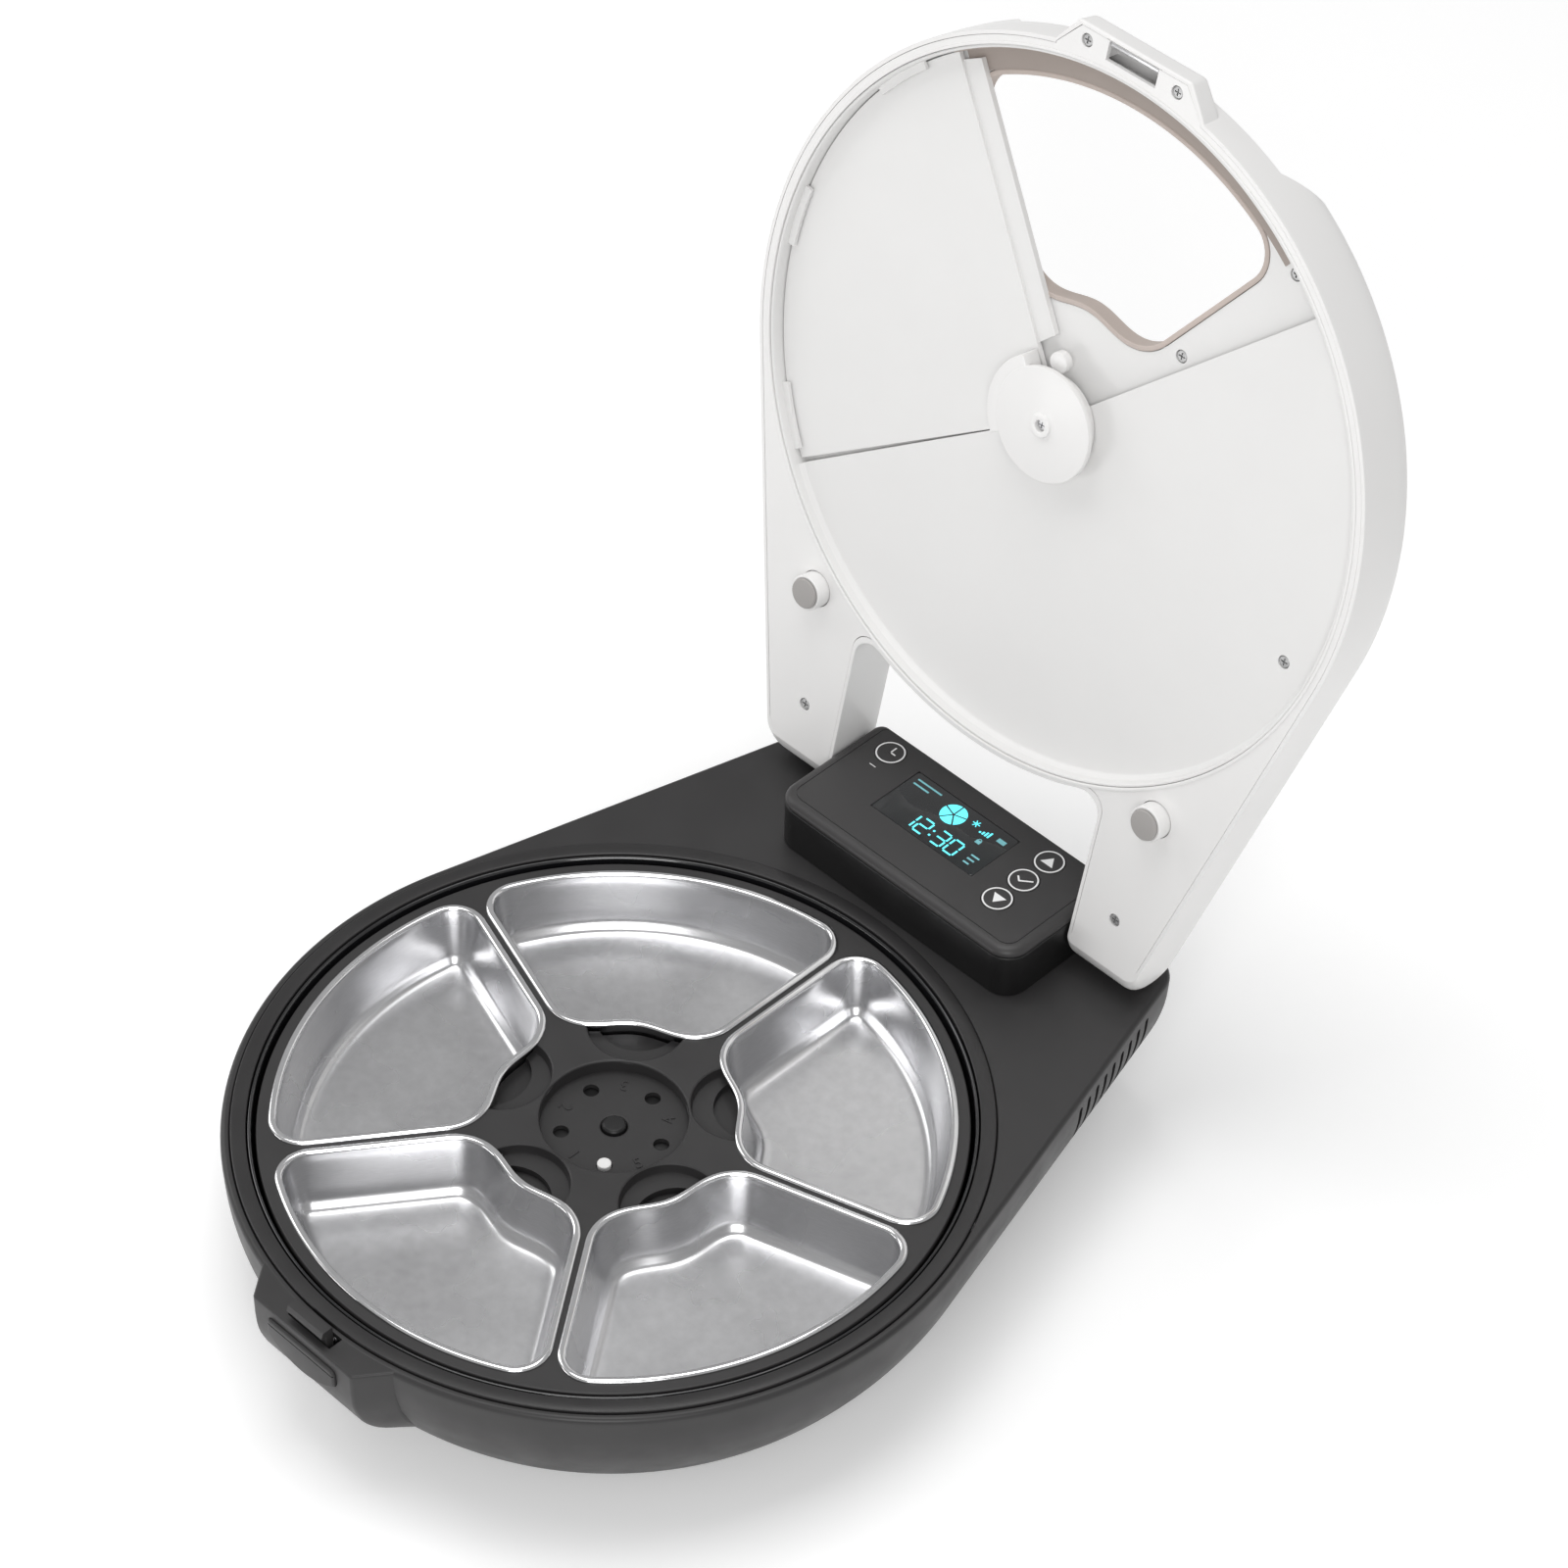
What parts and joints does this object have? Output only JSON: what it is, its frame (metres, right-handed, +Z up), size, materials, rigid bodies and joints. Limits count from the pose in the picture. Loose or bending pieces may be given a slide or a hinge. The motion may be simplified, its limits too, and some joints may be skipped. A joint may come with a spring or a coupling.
{
  "type": "automatic pet feeder",
  "caption": "Round chilled feeder base with a turning tray of steel meal bowls under a hinged lid with a shuttered window.",
  "frame": {"origin": "floor plane under the centre of the carousel", "axes": "+Z up along the carousel axis, -Y towards the latch at the front, +Y towards the hinge and control box, +X to the right"},
  "size_m": [0.3248, 0.4786, 0.4675],
  "materials": {
    "charcoal": "fine satin charcoal ABS",
    "black": "satin black ABS",
    "gloss_black": "polished black",
    "white": "warm white, soft gloss",
    "grey": "moulded grey",
    "silicone": "beige silicone",
    "rubber": "matt black",
    "bowl_steel": "satin with a bright rim",
    "steel": "plain",
    "screw": "dull zinc",
    "alloy": "extruded",
    "cold_plate": "frosted, cool tint",
    "heater": "amber film heater",
    "ceramic": "white ceramic",
    "board": "green solder mask",
    "display": "black display window with cyan marks",
    "brass": "turned"
  },
  "bodies": {
    "base": {"base_housing": "charcoal", "bottom_cover": "charcoal", "foot_front_left": "rubber", "foot_front_right": "rubber", "foot_rear_left": "rubber", "foot_rear_right": "rubber", "well_liner": "gloss_black", "cooling_plate": "cold_plate", "heating_pad": "heater", "peltier_module": "ceramic", "heat_sink": "alloy", "fan_frame": "black", "drive_motor": "steel", "spindle_bush": "brass", "power_board": "board", "dc_socket": "black", "control_board": "board", "control_box": "black", "control_panel": "charcoal", "display_window": "display", "hinge_pin_left": "steel", "hinge_pin_right": "steel", "latch_spring": "steel"},
    "latch": {"latch_button": "charcoal", "latch_hook": "charcoal"},
    "fan": {"fan_rotor": "black"},
    "turntable": {"turntable_hub": "black", "drive_gear": "grey"},
    "pinion": {"motor_pinion": "brass"},
    "carousel": {"tray": "charcoal", "tray_peg": "white"},
    "lid": {"lid_shell": "white", "lid_frame": "white", "lid_inner_panel": "white", "window_seal": "silicone", "lid_catch": "steel", "screw_ear_left": "screw", "screw_ear_right": "screw", "screw_latch_left": "screw", "screw_latch_right": "screw", "screw_panel_inner": "screw", "screw_panel_outer": "screw", "screw_panel_side": "screw", "shutter_motor": "black"},
    "bumper_pin_left": {"bumper_left": "grey"},
    "bumper_pin_right": {"bumper_right": "grey"},
    "shutter": {"shutter_panel": "white", "shutter_hub": "white", "shutter_screw": "steel"},
    "bowl_1": {"bowl_1": "bowl_steel"},
    "bowl_2": {"bowl_2": "bowl_steel"},
    "bowl_3": {"bowl_3": "bowl_steel"},
    "bowl_4": {"bowl_4": "bowl_steel"},
    "bowl_5": {"bowl_5": "bowl_steel"},
    "key_clock": {"button_clock": "charcoal"},
    "key_up": {"button_up": "charcoal"},
    "key_ok": {"button_ok": "charcoal"},
    "key_down": {"button_down": "charcoal"}
  },
  "joints": [
    {"name": "lid_hinge", "type": "hinge", "parent": "base", "child": "lid", "pos_m": [0, 0.214, 0.0885], "axis": [-1, 0, 0], "range_deg": [-102.8, 0]},
    {"name": "bumper_left_press", "type": "slide", "parent": "lid", "child": "bumper_pin_left", "axis": [0, 0.9751, -0.2215], "range_m": [0, 0.0068]},
    {"name": "bumper_right_press", "type": "slide", "parent": "lid", "child": "bumper_pin_right", "axis": [0, 0.9751, -0.2215], "range_m": [0, 0.0068]},
    {"name": "shutter_turn", "type": "hinge", "parent": "lid", "child": "shutter", "pos_m": [0, 0.24581, 0.30073], "axis": [0, 0.9751, -0.2215], "range_deg": [0, 80.2]},
    {"name": "carousel_spin", "type": "hinge", "parent": "base", "child": "turntable", "pos_m": [0, 0, 0.06], "axis": [0, 0, 1], "continuous": true},
    {"name": "pinion_spin", "type": "hinge", "parent": "base", "child": "pinion", "pos_m": [-0.036, 0, 0.027], "axis": [0, 0, 1], "continuous": true},
    {"name": "tray_lift", "type": "slide", "parent": "turntable", "child": "carousel", "axis": [0, 0, 1], "range_m": [0, 0.105]},
    {"name": "fan_spin", "type": "hinge", "parent": "base", "child": "fan", "pos_m": [0, 0.104, 0.012], "axis": [0, 0, 1], "continuous": true},
    {"name": "latch_press", "type": "slide", "parent": "base", "child": "latch", "axis": [0, 1, 0], "range_m": [0, 0.0022], "stiffness_N_per_m": 500, "springref_m": -0.002},
    {"name": "bowl_1_lift", "type": "slide", "parent": "carousel", "child": "bowl_1", "axis": [0, 0, 1], "range_m": [0, 0.06]},
    {"name": "bowl_2_lift", "type": "slide", "parent": "carousel", "child": "bowl_2", "axis": [0, 0, 1], "range_m": [0, 0.06]},
    {"name": "bowl_3_lift", "type": "slide", "parent": "carousel", "child": "bowl_3", "axis": [0, 0, 1], "range_m": [0, 0.06]},
    {"name": "bowl_4_lift", "type": "slide", "parent": "carousel", "child": "bowl_4", "axis": [0, 0, 1], "range_m": [0, 0.06]},
    {"name": "bowl_5_lift", "type": "slide", "parent": "carousel", "child": "bowl_5", "axis": [0, 0, 1], "range_m": [0, 0.06]},
    {"name": "key_clock_press", "type": "slide", "parent": "base", "child": "key_clock", "axis": [0, 0, -1], "range_m": [0, 0.0012], "stiffness_N_per_m": 400, "springref_m": -0.001},
    {"name": "key_up_press", "type": "slide", "parent": "base", "child": "key_up", "axis": [0, 0, -1], "range_m": [0, 0.0012], "stiffness_N_per_m": 400, "springref_m": -0.001},
    {"name": "key_ok_press", "type": "slide", "parent": "base", "child": "key_ok", "axis": [0, 0, -1], "range_m": [0, 0.0012], "stiffness_N_per_m": 400, "springref_m": -0.001},
    {"name": "key_down_press", "type": "slide", "parent": "base", "child": "key_down", "axis": [0, 0, -1], "range_m": [0, 0.0012], "stiffness_N_per_m": 400, "springref_m": -0.001}
  ],
  "couplings": [
    {"joint": "bumper_left_press", "follows": "lid_hinge", "m_per_rad": -0.003784},
    {"joint": "bumper_right_press", "follows": "lid_hinge", "m_per_rad": -0.003784},
    {"joint": "pinion_spin", "follows": "carousel_spin", "ratio": -3}
  ]
}
